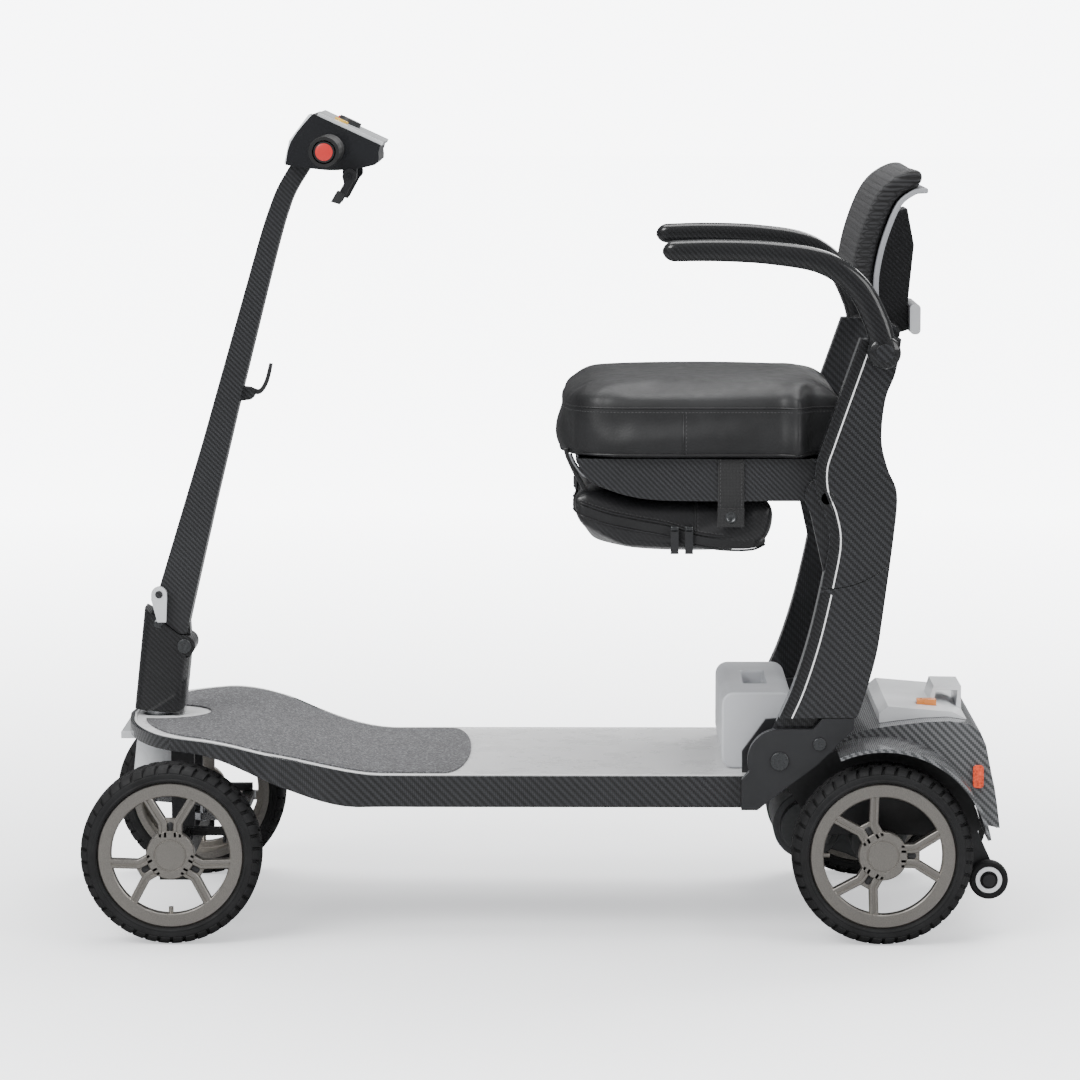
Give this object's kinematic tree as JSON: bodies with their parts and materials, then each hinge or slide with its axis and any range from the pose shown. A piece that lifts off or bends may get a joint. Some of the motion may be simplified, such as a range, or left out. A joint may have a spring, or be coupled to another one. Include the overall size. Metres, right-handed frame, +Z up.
{
  "type": "mobility scooter",
  "caption": "Folding mobility scooter with a carbon deck, tiller steering, padded seat, lifting armrests and spoked wheels.",
  "frame": {"origin": "on the ground, at the middle of the bounding box", "axes": "+Z up, -X towards the front of the vehicle, -Y towards its left side"},
  "size_m": [1.03, 0.49, 0.9121],
  "materials": {
    "carbon": "clear-coated twill carbon fibre",
    "white_panel": "smooth white",
    "grip_sheet": "speckled grit",
    "dark_metal": "satin black",
    "bolt_steel": "black oxide",
    "motor_black": "cast, satin",
    "controller": "anodised",
    "silver_plastic": "satin silver",
    "battery_grey": "satin grey",
    "orange": "gloss",
    "reflector_red": "prismatic",
    "steel": "machined",
    "head_silver": "satin",
    "tyre_rubber": "moulded",
    "rim_metal": "warm satin",
    "black_plastic": "moulded",
    "grip_rubber": "soft touch",
    "lens": "frosted",
    "red_button": "gloss",
    "yellow_button": "gloss",
    "leather": "fine grain",
    "webbing": "woven",
    "mesh_fabric": "ribbed mesh",
    "grey_plastic": "satin",
    "handle_silver": "satin",
    "small_wheel": "moulded"
  },
  "bodies": {
    "chassis": {"deck_shell": "carbon", "deck_top_panel": "white_panel", "grip_mat": "grip_sheet", "knee_brackets": "dark_metal", "knee_pins": "bolt_steel", "rear_frame": "dark_metal", "drive_motor": "motor_black", "transaxle_case": "motor_black", "motor_controller": "controller", "rear_fender": "carbon", "rear_lid": "silver_plastic", "rear_reflectors": "reflector_red", "anti_tip_arms": "dark_metal", "front_axle_beam": "dark_metal", "head_tube": "head_silver", "head_bearings": "steel"},
    "battery": {"battery_pack": "battery_grey"},
    "release_button": {"release_button": "orange"},
    "column": {"steerer": "steel", "column_shell": "carbon", "tiller_hinge_pin": "bolt_steel"},
    "knuckle_left": {"knuckle_left": "dark_metal"},
    "knuckle_right": {"knuckle_right": "dark_metal"},
    "tie_rod": {"tie_rod": "steel"},
    "wheel_front_left": {"tyre_front_left": "tyre_rubber", "rim_front_left": "rim_metal"},
    "wheel_front_right": {"tyre_front_right": "tyre_rubber", "rim_front_right": "rim_metal"},
    "wheel_rear_left": {"tyre_rear_left": "tyre_rubber", "rim_rear_left": "rim_metal"},
    "wheel_rear_right": {"tyre_rear_right": "tyre_rubber", "rim_rear_right": "rim_metal"},
    "tiller": {"tiller_tube": "carbon", "tiller_head": "black_plastic", "console_cover": "silver_plastic", "headlight_lens": "lens", "handlebar": "steel", "handle_grips": "grip_rubber"},
    "bag_hook": {"bag_hook": "dark_metal"},
    "throttle_lever": {"throttle_lever": "black_plastic"},
    "brake_lever": {"brake_lever": "black_plastic"},
    "power_button": {"power_button": "red_button"},
    "horn_button": {"horn_button": "yellow_button"},
    "speed_dial": {"speed_dial": "black_plastic"},
    "tiller_latch": {"tiller_latch": "head_silver"},
    "seat_post": {"post_frame": "carbon"},
    "seat": {"seat_frame": "carbon", "seat_base": "carbon", "seat_cushion": "leather", "under_seat_bag": "leather", "bag_straps": "webbing"},
    "zip_pulls": {"zip_pulls": "black_plastic"},
    "backrest": {"back_neck": "carbon", "back_shell": "grey_plastic", "back_pad": "mesh_fabric", "lift_handle": "handle_silver"},
    "armrest_left": {"armrest_left": "carbon"},
    "armrest_right": {"armrest_right": "carbon"},
    "anti_tip_wheel_left": {"anti_tip_wheel_left": "small_wheel"},
    "anti_tip_wheel_right": {"anti_tip_wheel_right": "small_wheel"}
  },
  "joints": [
    {"name": "battery_slide", "type": "slide", "parent": "chassis", "child": "battery", "axis": [-1, 0, 0], "range_m": [0, 0.12]},
    {"name": "release_press", "type": "slide", "parent": "chassis", "child": "release_button", "axis": [0, 0, -1], "range_m": [0, 0.004], "stiffness_N_per_m": 900, "springref_m": -0.001},
    {"name": "steering", "type": "hinge", "parent": "chassis", "child": "column", "pos_m": [-0.46981, 0, 0], "axis": [0.1045, 0, 0.9945], "range_deg": [-30, 30]},
    {"name": "kingpin_left", "type": "hinge", "parent": "chassis", "child": "knuckle_left", "pos_m": [-0.416, -0.1555, 0.1], "axis": [0, 0, 1], "range_deg": [-30, 30]},
    {"name": "kingpin_right", "type": "hinge", "parent": "chassis", "child": "knuckle_right", "pos_m": [-0.416, 0.1555, 0.1], "axis": [0, 0, 1], "range_deg": [-30, 30]},
    {"name": "tie_rod_pivot", "type": "hinge", "parent": "knuckle_left", "child": "tie_rod", "pos_m": [-0.356, -0.1555, 0.1], "axis": [0, 0, 1], "range_deg": [-30, 30]},
    {"name": "front_left_spin", "type": "hinge", "parent": "knuckle_left", "child": "wheel_front_left", "pos_m": [-0.416, -0.2175, 0.1], "axis": [0, 1, 0], "continuous": true},
    {"name": "rear_left_spin", "type": "hinge", "parent": "chassis", "child": "wheel_rear_left", "pos_m": [0.369, -0.2175, 0.1], "axis": [0, 1, 0], "continuous": true},
    {"name": "front_right_spin", "type": "hinge", "parent": "knuckle_right", "child": "wheel_front_right", "pos_m": [-0.416, 0.2175, 0.1], "axis": [0, 1, 0], "continuous": true},
    {"name": "rear_right_spin", "type": "hinge", "parent": "chassis", "child": "wheel_rear_right", "pos_m": [0.369, 0.2175, 0.1], "axis": [0, 1, 0], "continuous": true},
    {"name": "tiller_fold", "type": "hinge", "parent": "column", "child": "tiller", "pos_m": [-0.416, 0, 0.3045], "axis": [0, -1, 0], "range_deg": [-28, 0]},
    {"name": "hook_fold", "type": "hinge", "parent": "tiller", "child": "bag_hook", "pos_m": [-0.34204, 0, 0.59173], "axis": [0, 1, 0], "range_deg": [0, 60]},
    {"name": "throttle_pull", "type": "hinge", "parent": "tiller", "child": "throttle_lever", "pos_m": [-0.22284, 0, 0.84142], "axis": [0, 1, 0], "range_deg": [0, 15], "stiffness_Nm_per_rad": 1.5, "springref_deg": -5.73},
    {"name": "brake_pull", "type": "hinge", "parent": "tiller", "child": "brake_lever", "pos_m": [-0.22284, 0, 0.84142], "axis": [0, 1, 0], "range_deg": [0, 15], "stiffness_Nm_per_rad": 1.5, "springref_deg": -5.73},
    {"name": "power_press", "type": "slide", "parent": "tiller", "child": "power_button", "axis": [-0.4195, 0, -0.9078], "range_m": [0, 0.0015], "stiffness_N_per_m": 800, "springref_m": -0.001},
    {"name": "horn_press", "type": "slide", "parent": "tiller", "child": "horn_button", "axis": [-0.4195, 0, -0.9078], "range_m": [0, 0.0015], "stiffness_N_per_m": 800, "springref_m": -0.001},
    {"name": "speed_turn", "type": "hinge", "parent": "tiller", "child": "speed_dial", "pos_m": [-0.22797, 0, 0.89516], "axis": [0.4195, 0, 0.9078], "range_deg": [-135, 135]},
    {"name": "latch_flip", "type": "hinge", "parent": "tiller", "child": "tiller_latch", "pos_m": [-0.444, 0, 0.3645], "axis": [0, 1, 0], "range_deg": [0, 30], "stiffness_Nm_per_rad": 1, "springref_deg": -11.46},
    {"name": "seat_post_fold", "type": "hinge", "parent": "chassis", "child": "seat_post", "pos_m": [0.256, 0, 0.2], "axis": [0, -1, 0], "range_deg": [0, 87]},
    {"name": "seat_level", "type": "hinge", "parent": "seat_post", "child": "seat", "pos_m": [0.307, 0, 0.492], "axis": [0, -1, 0], "range_deg": [-87, 0]},
    {"name": "zip_swing", "type": "hinge", "parent": "seat", "child": "zip_pulls", "pos_m": [0, -0.1643, 0.451], "axis": [1, 0, 0], "range_deg": [-25, 0]},
    {"name": "backrest_fold", "type": "hinge", "parent": "seat", "child": "backrest", "pos_m": [0.378, 0, 0.672], "axis": [0, -1, 0], "range_deg": [0, 88]},
    {"name": "armrest_left_lift", "type": "hinge", "parent": "seat", "child": "armrest_left", "pos_m": [0.367, 0, 0.654], "axis": [0, 1, 0], "range_deg": [0, 80]},
    {"name": "anti_tip_left_spin", "type": "hinge", "parent": "chassis", "child": "anti_tip_wheel_left", "pos_m": [0.492, -0.158, 0.06], "axis": [0, 1, 0], "continuous": true},
    {"name": "armrest_right_lift", "type": "hinge", "parent": "seat", "child": "armrest_right", "pos_m": [0.367, 0, 0.654], "axis": [0, 1, 0], "range_deg": [0, 80]},
    {"name": "anti_tip_right_spin", "type": "hinge", "parent": "chassis", "child": "anti_tip_wheel_right", "pos_m": [0.492, 0.158, 0.06], "axis": [0, 1, 0], "continuous": true}
  ],
  "couplings": [
    {"joint": "kingpin_left", "follows": "steering", "ratio": 1},
    {"joint": "kingpin_right", "follows": "steering", "ratio": 1},
    {"joint": "tie_rod_pivot", "follows": "steering", "ratio": -1},
    {"joint": "seat_level", "follows": "seat_post_fold", "ratio": -1}
  ]
}
